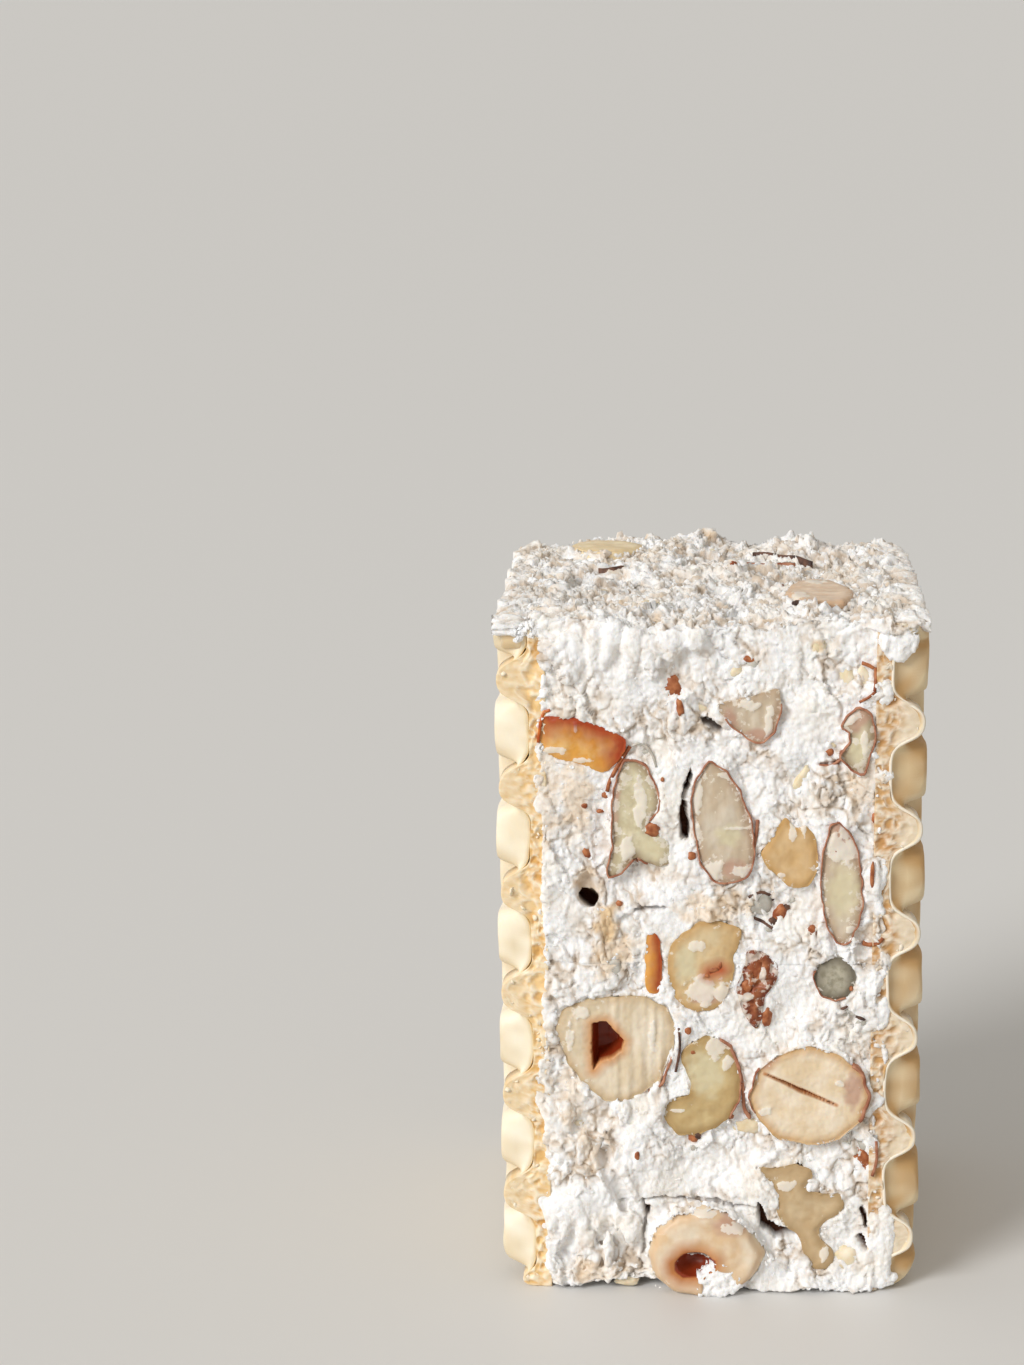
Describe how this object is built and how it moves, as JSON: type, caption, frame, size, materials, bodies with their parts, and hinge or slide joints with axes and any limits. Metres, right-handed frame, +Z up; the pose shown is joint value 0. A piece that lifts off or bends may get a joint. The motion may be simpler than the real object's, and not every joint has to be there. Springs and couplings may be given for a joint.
{
  "type": "nougat bar",
  "caption": "Cut bar of soft white nougat with nuts and candied peel, pressed between egg-crate wafer sheets, standing on its end.",
  "frame": {"origin": "middle of the bar's box, on the surface that the bar stands on", "axes": "+Z up along the bar's length; -Y out of the cut face that shows the nuts; the wafer sheets at -X and +X"},
  "size_m": [0.052, 0.0502, 0.0884],
  "materials": {
    "nougat": "white crumbly torn nougat, matte",
    "wafer": "pale baked wafer, matte",
    "hazelnut": "cut hazelnut flesh, satin",
    "almond": "cut almond flesh with a thin brown skin, satin",
    "walnut": "cut walnut flesh with a wavy brown skin, satin",
    "peel": "candied orange peel, sticky gloss"
  },
  "bodies": {
    "root": {"nougat": "nougat", "wafer_left": "wafer", "wafer_right": "wafer", "hazelnut_hollow": "hazelnut", "hazelnut_slit": "hazelnut", "hazelnut_foot": "hazelnut", "hazelnut_gold": "hazelnut", "hazelnut_amber": "hazelnut", "hazelnut_back_high": "hazelnut", "hazelnut_back_middle": "hazelnut", "hazelnut_back_low": "hazelnut", "hazelnut_under": "hazelnut", "almond_middle": "almond", "almond_right": "almond", "almond_corner": "almond", "almond_grey": "almond", "almond_top_front": "almond", "almond_top_back": "almond", "almond_back_high": "almond", "almond_back_middle": "almond", "almond_back_shard": "almond", "almond_under": "almond", "walnut_tall": "walnut", "walnut_right": "walnut", "walnut_lower": "walnut", "walnut_foot": "walnut", "walnut_crumbled": "walnut", "walnut_back_curl": "walnut", "walnut_back_hook": "walnut", "walnut_under": "walnut", "peel_large": "peel", "peel_strip": "peel", "peel_back": "peel"}
  },
  "joints": []
}
